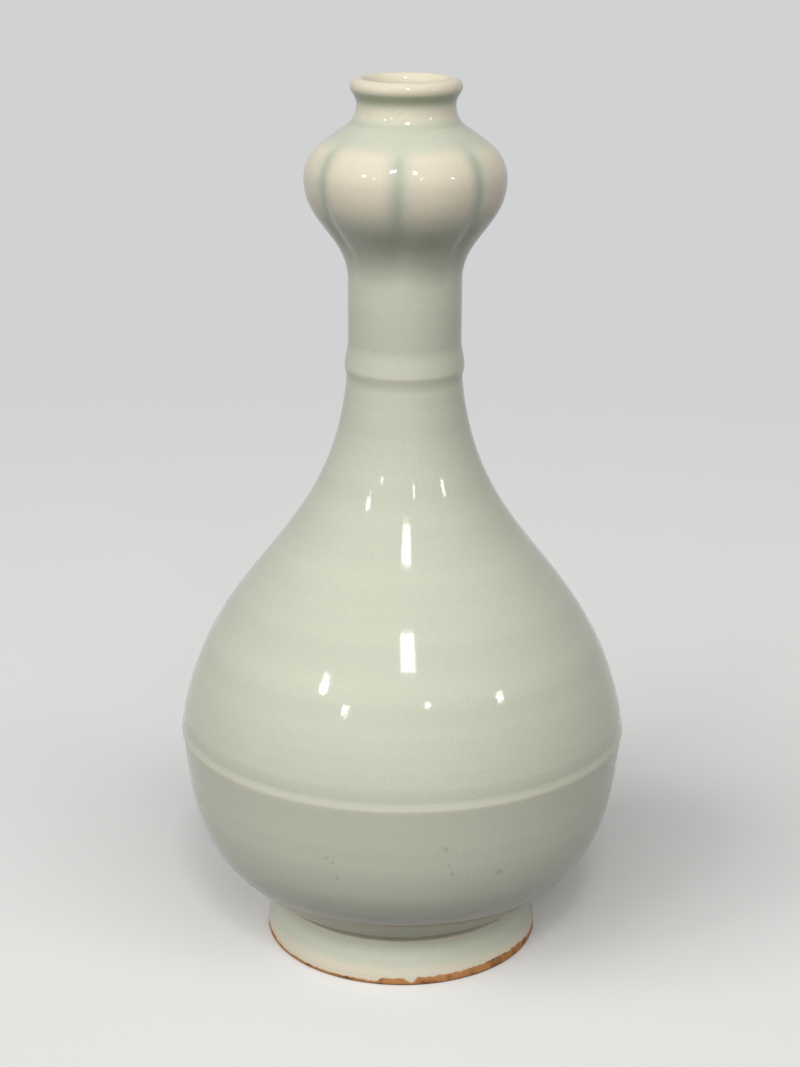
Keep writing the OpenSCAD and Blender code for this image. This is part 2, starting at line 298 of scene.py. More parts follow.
# %% Outline of the mouth
collar_r = 15.08
collar_h = 6.2
collar_low_pull = 1
collar_high_pull = 3.6
lip_r = 17
lip_rise = 5.3
lip_low_pull = 2.6
lip_wide_pull = 1.6
lip_crest_r = 14.4
lip_inner_h = 3.4
throat_r = 12
mouth_start = (head_top_r - cover_t, mouth_seam_z + slip_t / 2)
collar = (collar_r, mouth_seam_z + collar_h)
lip_wide = (lip_r, collar[1] + lip_rise)
lip_inner_z = lip_top_z - lip_inner_h
mouth_skin = (
    cubic(mouth_start, step(mouth_start, collar_low_pull, 180 - cap_angle),
          step(collar, collar_high_pull, -90), collar)
    + cubic(collar, step(collar, lip_low_pull, 90), step(lip_wide, lip_wide_pull, -90), lip_wide)[1:]
    + quarter((lip_crest_r, lip_wide[1]), lip_r - lip_crest_r, lip_top_z - lip_wide[1], 0, 90)[1:]
    + quarter((lip_crest_r, lip_inner_z), lip_crest_r - throat_r, lip_inner_h, 90, 180)[1:])
print("lip widest at", round(lip_wide[1], 1), "mm")

# %% [markdown]
# Molten glaze runs off sharp edges and gathers in hollows, so it is pale on a lip and greener under
# it. That follows from the outline alone: where it turns outwards sharply the glaze is thin, and
# where it turns inwards it is thick. The coat is also thin on the raised cloves, on the mouth and
# near the foot rim, and it hangs thick under the lip. Painted light rides on the same numbers: the
# cream of the cloves is partly a painted reflection, the pale line of the ledge is partly a painted
# highlight, and the dark band under the lip is partly painted shade. On the foot it drains and never
# pools. Each zone is a ramp: the level where it starts, the level where it is full, and its amount.
# Each point of the outline gets a number from -1, pooled, to 1, thin. The whole outline is taken at
# once, so the glaze runs on evenly from one section to the next.

# %% How thin the glaze lies, with painted light and shade
EDGE_R = 1.6  # an edge as round as this loses all its glaze
FLOW = 1.0  # how far the glaze evens out along the wall
DRAINED = 20  # level under which it never pools
COATS_AND_PAINTED_LIGHT = (
    (7.5, 4.0, 0.8),        # thin near the foot rim
    (12.9, 13.5, 0.9),      # thin on the ledge of the foot, with a painted highlight along it
    (14.8, 15.2, -0.9),     # full again on the bowl
    (237.5, 245.5, 0.92),   # thin on the cloves, with a painted reflection on them
    (259.2, 263.2, -0.96),  # full again on the cap
    (267.2, 270.0, 0.9),    # thin on the collar
    (271.2, 275.0, -1.5),   # hanging under the lip, with painted shade there
    (276.0, 277.2, 1.6))    # thin over the lip


def ramp(value, start, end, amount):
    """Rises smoothly from nothing at start to an amount at end, and stays there."""
    t = max(0.0, min(1.0, (value - start) / (end - start)))
    return amount * t * t * (3 - 2 * t)


def glaze_thinness(points):
    """For each outline point, its outward bend over a few millimetres as a share of a sharp edge, plus its
    zones of coat and painted light.
    """
    travelled = [0.0]
    bends = []
    for (r0, z0), (r1, z1) in zip(points, points[1:]):
        travelled.append(travelled[-1] + hypot(r1 - r0, z1 - z0))
    for i in range(1, len(points) - 1):
        before = atan2(points[i][1] - points[i - 1][1], points[i][0] - points[i - 1][0])
        after = atan2(points[i + 1][1] - points[i][1], points[i + 1][0] - points[i][0])
        bends.append((travelled[i], (after - before + pi) % (2 * pi) - pi))
    thinness = []
    for s, (r, z) in zip(travelled, points):
        near = [(at, bend) for at, bend in bends if abs(at - s) < 3 * FLOW]
        bent = sum(bend * exp(-((s - at) / FLOW) ** 2) for at, bend in near)
        bent *= EDGE_R / (FLOW * pi ** 0.5)
        coat_and_painted_light = sum(ramp(z, *zone) for zone in COATS_AND_PAINTED_LIGHT)
        least = -1.0 if z > DRAINED else 0.0
        thinness.append(max(least, min(1.0, bent + coat_and_painted_light)))
    return thinness


whole_outline = (
    foot_skin + bowl_curve + belly_string_skin[1:-1] + shoulder_curve + neck_string_skin[1:-1]
    + neck_line[1:] + head_curve + mouth_skin)
# These numbers also hold painted light: a highlight on the ledge, a reflection on the cloves and shade
# under the lip.
thin_at = dict(zip(whole_outline, glaze_thinness(whole_outline)))
print("glaze: thinnest", round(max(thin_at.values()), 2), "most pooled", round(min(thin_at.values()), 2))

# %% [markdown]
# Nodes, in materials and in geometry alike, are added by one small function. It makes a node,
# sets its options, then sets or links each input and returns the output that the next node needs.

# %% One function for every node


def add(tree, kind, inputs=None, out=0, **options):
    """Adds a node, sets its options, sets or links its inputs, and returns one of its outputs."""
    made = tree.nodes.new(kind)
    for name, value in options.items():
        setattr(made, name, value)
    for key, value in (inputs or {}).items():
        if isinstance(value, bpy.types.NodeSocket):
            tree.links.new(value, made.inputs[key])
        else:
            made.inputs[key].default_value = value
    return made.outputs[out] if made.outputs else None


def linear(hex_colour):
    """An sRGB hex colour as the linear RGBA that shaders use."""
    channels = [int(hex_colour[i:i + 2], 16) / 255 for i in (1, 3, 5)]
    return [c / 12.92 if c <= 0.04045 else ((c + 0.055) / 1.055) ** 2.4 for c in channels] + [1.0]


print("mid grey in linear light:", round(linear("#808080")[0], 3))

# %% [markdown]
# The wheel. A lathe shape could come from the Screw modifier, but the garlic head isn't round: it
# has cloves. So a Geometry Nodes tree does the turning. Curve to Mesh sweeps the outline round a
# circle, and Set Position then puts each point at its own radius and height, drawn in where a
# groove runs between two cloves. Plain sections use the same tree with grooves of no depth.

# %% The wheel, as a Geometry Nodes tree
wheel = bpy.data.node_groups.new("Thrown section", "GeometryNodeTree")
wheel.interface.new_socket("Outline", in_out="INPUT", socket_type="NodeSocketGeometry")
for name, kind in (
        ("Segments", "Int"), ("Cloves", "Int"), ("Groove depth", "Float"), ("Groove width", "Float"),
        ("Clove swell", "Float"), ("Groove turn", "Float"), ("Grooves from", "Float"),
        ("Grooves to", "Float"), ("Glaze", "Material")):
    wheel.interface.new_socket(name, in_out="INPUT", socket_type="NodeSocket" + kind)
wheel.interface.new_socket("Section", in_out="OUTPUT", socket_type="NodeSocketGeometry")
given = add(wheel, "NodeGroupInput").node.outputs

outline_curve = add(wheel, "GeometryNodeMeshToCurve", {0: given["Outline"]})
circle = add(wheel, "GeometryNodeCurvePrimitiveCircle", {"Resolution": given["Segments"], "Radius": 1.0})
swept = add(wheel, "GeometryNodeCurveToMesh", {"Curve": circle, "Profile Curve": outline_curve})
radius = add(wheel, "GeometryNodeInputNamedAttribute", {"Name": "turn_radius"}, data_type="FLOAT")
height = add(wheel, "GeometryNodeInputNamedAttribute", {"Name": "turn_height"}, data_type="FLOAT")
skin = add(wheel, "GeometryNodeInputNamedAttribute", {"Name": "skin"}, data_type="FLOAT")
place = add(wheel, "ShaderNodeSeparateXYZ", {0: add(wheel, "GeometryNodeInputPosition")}).node.outputs
angle = add(wheel, "ShaderNodeMath", {0: place["Y"], 1: place["X"]}, operation="ARCTAN2")
print("the wheel takes:", [socket.name for socket in given if socket.name])

# %% [markdown]
# The grooves. The angle round the vase is folded into the angle off the nearest groove. Times the
# radius, that is the distance aside, and a bell curve of it makes the groove. A cosine swells the
# middle of each clove. Both fade to nothing at the neck and at the mouth along half a sine wave.

# %% Cloves and grooves
full_turn = 2 * pi
clove_angle = add(wheel, "ShaderNodeMath", {0: full_turn, 1: given["Cloves"]}, operation="DIVIDE")
half_clove = add(wheel, "ShaderNodeMath", {0: clove_angle, 1: 0.5}, operation="MULTIPLY")
other_half = add(wheel, "ShaderNodeMath", {0: half_clove, 1: -1.0}, operation="MULTIPLY")
turned = add(wheel, "ShaderNodeMath", {0: angle, 1: given["Groove turn"]}, operation="SUBTRACT")
off = add(wheel, "ShaderNodeMath", {0: turned, 1: half_clove, 2: other_half}, operation="WRAP")
aside = add(wheel, "ShaderNodeMath", {0: off, 1: radius}, operation="MULTIPLY")
half_width = add(wheel, "ShaderNodeMath", {0: given["Groove width"], 1: 0.5}, operation="MULTIPLY")
share = add(wheel, "ShaderNodeMath", {0: aside, 1: half_width}, operation="DIVIDE")
square = add(wheel, "ShaderNodeMath", {0: share, 1: share}, operation="MULTIPLY")
minus = add(wheel, "ShaderNodeMath", {0: square, 1: -1.0}, operation="MULTIPLY")
bell = add(wheel, "ShaderNodeMath", {0: minus}, operation="EXPONENT")
cloves_off = add(wheel, "ShaderNodeMath", {0: off, 1: given["Cloves"]}, operation="MULTIPLY")
wave = add(wheel, "ShaderNodeMath", {0: cloves_off}, operation="COSINE")
edge = add(wheel, "ShaderNodeMath", {0: wave, 1: 0.5, 2: 0.5}, operation="MULTIPLY_ADD")
along = add(wheel, "ShaderNodeMapRange", {
    "Value": height, "From Min": given["Grooves from"], "From Max": given["Grooves to"], "To Max": pi})
fade = add(wheel, "ShaderNodeMath", {0: along}, operation="SINE")
shown_fade = add(wheel, "ShaderNodeMath", {0: fade, 1: skin}, operation="MULTIPLY")
groove = add(wheel, "ShaderNodeMath", {0: bell, 1: shown_fade}, operation="MULTIPLY")
dip = add(wheel, "ShaderNodeMath", {0: groove, 1: given["Groove depth"]}, operation="MULTIPLY")
drawn = add(wheel, "ShaderNodeMath", {0: edge, 1: given["Clove swell"]}, operation="MULTIPLY")
drawn_in = add(wheel, "ShaderNodeMath", {0: drawn, 1: shown_fade, 2: dip}, operation="MULTIPLY_ADD")
true_radius = add(wheel, "ShaderNodeMath", {0: radius, 1: drawn_in}, operation="SUBTRACT")
print("the wheel has", len(wheel.nodes), "nodes so far")

# %% [markdown]
# Glaze pools in the grooves. How much gathers at a point is stored with the mesh, for the material:
# the same bell curve, spread wider by a power below one, and faded out near the neck and the mouth.
# The fades start and end at shares of the way up the grooves.

# %% Glaze in the grooves
POOL_SPREAD = 0.6
POOL_FROM = 0.14
POOL_FULL = 0.4
POOL_TO = 0.83

pool_low = add(wheel, "ShaderNodeMapRange", {
    "Value": along, "From Min": POOL_FROM * pi, "From Max": POOL_FULL * pi},
    interpolation_type="SMOOTHSTEP")
pool_high = add(wheel, "ShaderNodeMapRange", {
    "Value": along, "From Min": pi, "From Max": POOL_TO * pi}, interpolation_type="SMOOTHSTEP")
pool_wide = add(wheel, "ShaderNodeMath", {0: bell, 1: POOL_SPREAD}, operation="POWER")
pool_bell = add(wheel, "ShaderNodeMath", {0: pool_wide, 1: pool_low}, operation="MULTIPLY")
pool_fade = add(wheel, "ShaderNodeMath", {0: pool_bell, 1: pool_high}, operation="MULTIPLY")
pool = add(wheel, "ShaderNodeMath", {0: pool_fade, 1: skin}, operation="MULTIPLY")
with_pool = add(wheel, "GeometryNodeStoreNamedAttribute", {
    "Geometry": swept, "Name": "groove", "Value": pool}, data_type="FLOAT", domain="POINT")
print("the wheel has", len(wheel.nodes), "nodes with the pooling")

# %% [markdown]
# The last stretch of the tree places the points, closes the poles on the axis by merging, turns
# the faces outwards, shades the skin smooth and sets the glaze. Realize Instances and Set Material
# come last, so that the result is one plain mesh.

# %% Place the points and finish the tree
MERGE = 0.001

x = add(wheel, "ShaderNodeMath", {0: true_radius, 1: add(
    wheel, "ShaderNodeMath", {0: angle}, operation="COSINE")}, operation="MULTIPLY")
y = add(wheel, "ShaderNodeMath", {0: true_radius, 1: add(
    wheel, "ShaderNodeMath", {0: angle}, operation="SINE")}, operation="MULTIPLY")
position = add(wheel, "ShaderNodeCombineXYZ", {"X": x, "Y": y, "Z": height})
placed = add(wheel, "GeometryNodeSetPosition", {"Geometry": with_pool, "Position": position})
merged = add(wheel, "GeometryNodeMergeByDistance", {"Geometry": placed, "Distance": MERGE * MM})
outwards = add(wheel, "GeometryNodeFlipFaces", {"Mesh": merged})
smooth = add(wheel, "GeometryNodeSetShadeSmooth", {"Geometry": outwards})
realized = add(wheel, "GeometryNodeRealizeInstances", {"Geometry": smooth})
glazed = add(wheel, "GeometryNodeSetMaterial", {"Geometry": realized, "Material": given["Glaze"]})
add(wheel, "NodeGroupOutput", {"Section": glazed})
print("the wheel has", len(wheel.nodes), "nodes")

# %% [markdown]
# One function throws a section: it makes the outline as a ring of edges, gives each of its points
# its radius, height and glaze, lets the wheel turn it, and keeps the result as a plain mesh. The
# modifier is gone before the piece is tied to the frame.

# %% Throw one section
SEGMENTS = 256
CLOVES = 7
CORNER = 35


def volume(mesh):
    """Signed volume of a closed mesh: positive where the faces point outwards."""
    mesh.calc_loop_triangles()
    corners = [v.co for v in mesh.vertices]
    return sum(
        corners[a].dot(corners[b].cross(corners[c]))
        for a, b, c in (tri.vertices for tri in mesh.loop_triangles)) / 6


def throw(name, skin_points, hidden_points, material, node, slot_name, segments=SEGMENTS, **cloves):
    """A turned piece from the outline of its skin, then of the faces that close it."""
    points = skin_points + hidden_points
    count = len(points)
    outline = bpy.data.meshes.new(name + "_outline")
    outline.from_pydata(
        [(r * MM, z * MM, 0) for r, z in points], [(i, (i + 1) % count) for i in range(count)], [])
    values = {
        "turn_radius": [r * MM for r, z in points],
        "turn_height": [z * MM for r, z in points],
        "skin": [1.0] * len(skin_points) + [0.0] * len(hidden_points),
        "thin": [thin_at.get(point, 0.0) for point in points]}
    for key, numbers in values.items():
        outline.attributes.new(key, "FLOAT", "POINT").data.foreach_set("value", numbers)
    piece = bpy.data.objects.new(name, outline)
    bpy.context.scene.collection.objects.link(piece)
    turning = piece.modifiers.new("Thrown section", "NODES")
    turning.node_group = wheel
    inputs = {"Segments": segments, "Cloves": CLOVES, "Glaze": material, **cloves}
    for socket in wheel.interface.items_tree:
        if socket.name in inputs:
            turning[socket.identifier] = inputs[socket.name]
    depsgraph = bpy.context.evaluated_depsgraph_get()
    mesh = bpy.data.meshes.new_from_object(
        piece.evaluated_get(depsgraph), preserve_all_data_layers=True, depsgraph=depsgraph)
    piece.modifiers.clear()
    piece.data = mesh
    mesh.name = name
    bpy.data.meshes.remove(outline)
    for key in ("turn_radius", "turn_height", "skin"):
        mesh.attributes.remove(mesh.attributes[key])
    mesh.set_sharp_from_angle(angle=radians(CORNER))
    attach(piece, "root")
    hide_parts(node)
    print(name, len(mesh.polygons), "faces, volume", round(volume(mesh) / MM ** 3), "mm3")


# %% [markdown]
# Celadon glaze. It is a clear glass with a trace of iron, fired over pale clay. Light goes
# through it, comes back from the clay and takes the green with it, so thin glaze is a warm cream
# and thick glaze is grey-green. Colour therefore follows the coat: its thickness along the
# outline, and what gathers in the grooves of the head. The same colours partly paint light: the
# thin cream is partly a painted highlight on the ledge and a painted reflection on the cloves, and
# the pooled green is partly painted shade under the lip. Fine bubbles make a stipple, the turning
# wheel leaves soft bands in the coat, it drifts a little over the body, and a few specks of iron
# burn through on the lower bowl. Each speck has its angle to the right of the front, its height and
# its radius, in degrees and millimetres.

# %% Colour of the celadon glaze
GLAZE = "#CBCEBA"
# The thin colour also stands for a painted highlight on the ledge and a painted reflection on the cloves.
# The pooled colour also stands for painted shade under the lip.
GLAZE_THIN_AND_PAINTED_LIGHT = "#E4DAC3"
GLAZE_POOLED_AND_PAINTED_SHADE = "#A9AA8E"
IRON = "#6A5C38"
GROOVE_POOL = 0.35
NOISE_LOW = 0.3
NOISE_HIGH = 0.7
STIPPLE = 0.7
STIPPLE_BY = 0.035
BAND = 14
BAND_BY = 0.035
DRIFT = 55
DRIFT_BY = 0.05
SPECKS = (
    (-33, 45.3, 1.1), (-19, 55.3, 1.3), (-17.5, 54, 1.3), (-16.5, 48.8, 1.3), (11, 60, 1.6),
    (12, 54, 1.2), (13, 50.8, 1.5), (26, 49, 1.8))
SPECK_EDGE = 0.8
SPECK_STRENGTH = 0.45


def glaze_colour(tree):
    """The colour of the glaze by how thick it lies, with painted light and shade in places, its stipple,
    its drift and its specks.
    """
    where = add(tree, "ShaderNodeTexCoord", out="Object")
    # The attribute read here is the coat of the glaze with painted light folded in: a highlight on the
    # ledge, a reflection on the cloves and shade under the lip.
    thin = add(tree, "ShaderNodeAttribute", out="Fac", attribute_name="thin")
    groove_depth = add(tree, "ShaderNodeAttribute", out="Fac", attribute_name="groove")
    coat_and_painted_light = add(tree, "ShaderNodeMix", {0: groove_depth, 2: thin, 3: -GROOVE_POOL})
    thinner = add(tree, "ShaderNodeMapRange", {"Value": coat_and_painted_light})
    pooled_and_shaded = add(tree, "ShaderNodeMapRange", {"Value": coat_and_painted_light, "From Max": -1.0})
    pale = add(
        tree, "ShaderNodeMix", {0: thinner, 6: linear(GLAZE), 7: linear(GLAZE_THIN_AND_PAINTED_LIGHT)}, out=2,
        data_type="RGBA")
    green = add(
        tree, "ShaderNodeMix", {0: pooled_and_shaded, 6: pale, 7: linear(GLAZE_POOLED_AND_PAINTED_SHADE)}, out=2, data_type="RGBA")
    drift = add(
        tree, "ShaderNodeTexNoise", {"Vector": where, "Scale": 1 / (DRIFT * MM), "Detail": 3.0})
    stipple = add(
        tree, "ShaderNodeTexNoise", {"Vector": where, "Scale": 1 / (STIPPLE * MM), "Detail": 2.0})
    shade = add(tree, "ShaderNodeMapRange", {
        "Value": drift, "To Min": 1 - DRIFT_BY, "To Max": 1 + DRIFT_BY})
    dots = add(tree, "ShaderNodeMapRange", {
        "Value": stipple, "From Min": NOISE_LOW, "From Max": NOISE_HIGH,
        "To Min": 1 - STIPPLE_BY, "To Max": 1 + STIPPLE_BY})
    level = add(tree, "ShaderNodeSeparateXYZ", {0: where}, out="Z")
    band = add(tree, "ShaderNodeTexNoise", {"W": level, "Scale": 1 / (BAND * MM), "Detail": 2.0},
               noise_dimensions="1D")
    bands = add(tree, "ShaderNodeMapRange", {
        "Value": band, "From Min": NOISE_LOW, "From Max": NOISE_HIGH,
        "To Min": 1 - BAND_BY, "To Max": 1 + BAND_BY})
    both = add(tree, "ShaderNodeMath", {0: shade, 1: dots}, operation="MULTIPLY")
    all_three = add(tree, "ShaderNodeMath", {0: both, 1: bands}, operation="MULTIPLY")
    clouded = add(tree, "ShaderNodeVectorMath", {0: green, "Scale": all_three}, operation="SCALE")
    specks = 0.0
    for right, up, size in SPECKS:
        r = next(r for r, z in bowl_curve if z >= up)
        centre = [c * MM for c in (r * sin(radians(right)), -r * cos(radians(right)), up)]
        away = add(
            tree, "ShaderNodeVectorMath", {0: where, 1: centre}, out="Value", operation="DISTANCE")
        ragged = add(
            tree, "ShaderNodeMath", {0: stipple, 1: SPECK_EDGE * MM, 2: away}, operation="MULTIPLY_ADD")
        speck = add(tree, "ShaderNodeMapRange", {
            "Value": ragged, "From Min": size * MM, "From Max": 0.0, "To Max": SPECK_STRENGTH})
        specks = add(tree, "ShaderNodeMath", {0: specks, 1: speck}, operation="MAXIMUM")
    return add(tree, "ShaderNodeMix", {0: specks, 6: clouded, 7: linear(IRON)}, out=2, data_type="RGBA")


print("celadon:", GLAZE, "thin:", GLAZE_THIN_AND_PAINTED_LIGHT, "pooled:", GLAZE_POOLED_AND_PAINTED_SHADE)

# %% [markdown]
# The surface is pulled smooth by melting, so it mirrors the lamps. Under the gloss lie the faint
# rings that fingers leave on the wheel, and the orange peel of a sprayed and fired coat. Both are
# far too shallow to model, so they are bump. A wave texture of scale one repeats every WAVE.

# %% Celadon glaze
WAVE = pi / 10
THROWING_RING = 9
RING_DEPTH = 0.05
RING_STRENGTH = 0.5
PEEL = 1.6
PEEL_DEPTH = 0.04
PEEL_STRENGTH = 0.3
GLAZE_ROUGHNESS = 0.08
GLAZE_IOR = 1.5


def glaze_normal(tree):
    """Orange peel over the faint rings that the fingers leave on the wheel."""
    where = add(tree, "ShaderNodeTexCoord", out="Object")
    rings = add(tree, "ShaderNodeTexWave", {
        "Vector": where, "Scale": WAVE / (THROWING_RING * MM), "Distortion": 3.0, "Detail": 1.0,
        "Detail Scale": 0.3}, out="Fac", bands_direction="Z")
    peel = add(tree, "ShaderNodeTexNoise", {"Vector": where, "Scale": 1 / (PEEL * MM), "Detail": 1.0})
    ringed = add(tree, "ShaderNodeBump", {
        "Height": rings, "Strength": RING_STRENGTH, "Distance": RING_DEPTH * MM})
    return add(tree, "ShaderNodeBump", {
        "Height": peel, "Strength": PEEL_STRENGTH, "Distance": PEEL_DEPTH * MM, "Normal": ringed})


def new_material(name):
    """An empty node material, with its tree."""
    material = bpy.data.materials.new(name)
    material.use_nodes = True
    material.node_tree.nodes.clear()
    return material, material.node_tree


celadon, tree = new_material("celadon_glaze")
gloss = add(tree, "ShaderNodeBsdfPrincipled", {
    "Base Color": glaze_colour(tree), "Normal": glaze_normal(tree),
    "Roughness": GLAZE_ROUGHNESS, "IOR": GLAZE_IOR})
add(tree, "ShaderNodeOutputMaterial", {"Surface": gloss})
print("celadon_glaze has", len(tree.nodes), "nodes")

# %% [markdown]
# The foot. Its glaze is wiped off the rim before firing, or the vase would fuse to the kiln shelf.
# The bare clay burns orange-brown there. How far up it is bare changes round the rim, because a
# hand wiped it: the stops below give that height, in millimetres, at angles to the right of the
# front. One noise frays the edge, and another scorches the clay brown in patches.

# %% Foot glaze and bare rim
BISCUIT = "#BA7736"
BISCUIT_PALE = "#D19D6E"
BISCUIT_BURNT = "#7A4A22"
BISCUIT_ROUGHNESS = 0.8
BISCUIT_GRAIN = 1.2
BARE_TOP = 4.0
BARE_EDGE = 0.15
WIPED = (
    (-180, 1.6), (-130, 2.6), (-95, 2.7), (-70, 2.3), (-55, 1.6), (-25, 1.4), (-10, 1.5), (-8, 2.6),
    (2, 2.6), (3.5, 1.1), (5, 1.1), (6.5, 2.9), (58, 3.4), (75, 2.6), (110, 1.6), (150, 2.6), (180, 1.6))
FRAY = 2.5
FRAY_BY = 1.0
SCORCH = 5
SCORCH_FROM = 0.48
SCORCH_TO = 0.66
SCORCH_BY = 0.85

foot_finish, tree = new_material("foot_glaze_over_bare_clay")
where = add(tree, "ShaderNodeTexCoord", out="Object")
place = add(tree, "ShaderNodeSeparateXYZ", {0: where}).node.outputs
behind = add(tree, "ShaderNodeMath", {0: place["Y"], 1: -1.0}, operation="MULTIPLY")
turn = add(tree, "ShaderNodeMath", {0: place["X"], 1: behind}, operation="ARCTAN2")
around = add(tree, "ShaderNodeMapRange", {"Value": turn, "From Min": -pi, "From Max": pi})
stops = add(tree, "ShaderNodeValToRGB", {0: around})
elements = stops.node.color_ramp.elements
for degrees, bare_h in WIPED:
    at = (degrees + 180) / 360
    stop = elements.new(at) if 0 < at < 1 else elements[int(at)]
    stop.color = (bare_h / BARE_TOP,) * 3 + (1.0,)
fray = add(tree, "ShaderNodeTexNoise", {"Vector": where, "Scale": 1 / (FRAY * MM), "Detail": 4.0})
frayed = add(
    tree, "ShaderNodeMapRange", {"Value": fray, "To Min": -FRAY_BY * MM, "To Max": FRAY_BY * MM})
bare_to = add(tree, "ShaderNodeMath", {0: stops, 1: BARE_TOP * MM, 2: frayed}, operation="MULTIPLY_ADD")
depth = add(tree, "ShaderNodeMath", {0: bare_to, 1: place["Z"]}, operation="SUBTRACT")
bare = add(tree, "ShaderNodeMapRange", {
    "Value": depth, "From Min": -BARE_EDGE * MM, "From Max": BARE_EDGE * MM})
grain = add(
    tree, "ShaderNodeTexNoise", {"Vector": where, "Scale": 1 / (BISCUIT_GRAIN * MM), "Detail": 3.0})
toasted = add(
    tree, "ShaderNodeMix", {0: grain, 6: linear(BISCUIT), 7: linear(BISCUIT_PALE)}, out=2,
    data_type="RGBA")
scorch = add(tree, "ShaderNodeTexNoise", {"Vector": where, "Scale": 1 / (SCORCH * MM), "Detail": 3.0})
scorched = add(tree, "ShaderNodeMapRange", {
    "Value": scorch, "From Min": SCORCH_FROM, "From Max": SCORCH_TO, "To Max": SCORCH_BY})
clay = add(
    tree, "ShaderNodeMix", {0: scorched, 6: toasted, 7: linear(BISCUIT_BURNT)}, out=2, data_type="RGBA")
colour = add(tree, "ShaderNodeMix", {0: bare, 6: glaze_colour(tree), 7: clay}, out=2, data_type="RGBA")
rough = add(tree, "ShaderNodeMapRange", {
    "Value": bare, "To Min": GLAZE_ROUGHNESS, "To Max": BISCUIT_ROUGHNESS})
gloss = add(tree, "ShaderNodeBsdfPrincipled", {
    "Base Color": colour, "Roughness": rough, "Normal": glaze_normal(tree), "IOR": GLAZE_IOR})
add(tree, "ShaderNodeOutputMaterial", {"Surface": gloss})
print("foot_glaze_over_bare_clay has", len(tree.nodes), "nodes")

# %% [markdown]
# Fired slip, the clay that joins the sections. It stays inside the seams, under the glaze, so a
# plain matt clay with a little grain is enough.

# %% Fired slip
SLIP = "#B9A98C"
SLIP_DARK = "#A3926F"
SLIP_GRAIN = 0.8
SLIP_ROUGHNESS = 0.85

slip, tree = new_material("fired_slip")
where = add(tree, "ShaderNodeTexCoord", out="Object")
grain = add(
    tree, "ShaderNodeTexNoise", {"Vector": where, "Scale": 1 / (SLIP_GRAIN * MM), "Detail": 3.0})
colour = add(
    tree, "ShaderNodeMix", {0: grain, 6: linear(SLIP), 7: linear(SLIP_DARK)}, out=2, data_type="RGBA")
matt = add(tree, "ShaderNodeBsdfPrincipled", {"Base Color": colour, "Roughness": SLIP_ROUGHNESS})
add(tree, "ShaderNodeOutputMaterial", {"Surface": matt})
print("fired_slip has", len(tree.nodes), "nodes")

# %% [markdown]
# Now the sections are thrown from the bottom up. The foot ring is closed behind its skin by the bore
# that takes the base disc of the bowl.

# %% Foot ring
base_r = 37
foot_back = [(base_r + slip_t, foot_top_z), (base_r + slip_t, base_z)]
throw("foot_ring_glazed", foot_skin, foot_back, foot_finish, "foot_ring", "foot_glaze")

# %% [markdown]
# The bowl's skin runs down over the slip to the ledge. Inside it has its floor, and its base disc
# drops into the foot. Where a string will cover the wall, the wall steps in a little. That sharp
# step keeps the shading of the skin clean up to the string. The inside shows little, so it takes only
# every second point of the curve.

# %% Belly bowl
floor_t = 6.6
glaze_low = foot_skin[-1 - ROUND_STEPS // 2]
bowl_skin = [glaze_low] + [p for p in bowl_curve if p[0] > glaze_low[0]]
bowl_rest = (
    [(belly_r - cover_t, belly_low_z)] + seam_below(*belly_seam)[2:]
    + inner_face(bowl_curve, wall_t, wall_t)[::-2]
    + [(0, base_z + floor_t), (0, base_z), (base_r, base_z), (base_r, bowl_low_z)]
    + [(bowl_low_r - 2 * cover_t, bowl_low_z), (bowl_low_r - 2 * cover_t, foot_top_z)])
throw("belly_bowl_glazed", bowl_skin, bowl_rest, celadon, "belly_bowl", "body_glaze")

# %% [markdown]
# The shoulder drops over the tongue of the bowl and ends in a tongue of its own, for the neck. The
# neck is a straight tube between two seams.

# %% Shoulder and neck
shoulder_inside = [
    p for p in inner_face(shoulder_curve, wall_t, shoulder_end[0] - neck_bore_r)[::-2]
    if p[1] > belly_seam_z + lap_h + slip_t]
shoulder_rest = (
    [(neck_r - cover_t, shoulder_end[1])] + seam_below(*neck_seam)[2:] + shoulder_inside
    + seam_above(*belly_seam)[:-1] + [(shoulder_start[0] - cover_t, belly_high_z)])
throw("shoulder_glazed", shoulder_curve, shoulder_rest, celadon, "shoulder", "body_glaze")
neck_rest = seam_below(*head_seam)[1:] + seam_above(*neck_seam)
throw("neck_glazed", neck_line, neck_rest, celadon, "neck", "body_glaze")

# %% [markdown]
# The raised strings cover the belly seam and the neck seam. Each is closed by a straight back just
# under the skin of the wall.

# %% Strings
back_t = 4 * sink

for node, string_skin in (("belly_string", belly_string_skin), ("neck_string", neck_string_skin)):
    string_back = [(r - back_t, z) for r, z in (string_skin[-1], string_skin[0])]
    throw(node + "_glazed", string_skin, string_back, celadon, node, "string_glaze")

# %% [markdown]
# The garlic head is the one section that isn't round: the wheel's grooves divide it into seven
# cloves. Inside it is plain, with a chamber that opens down to the neck and up to the mouth.

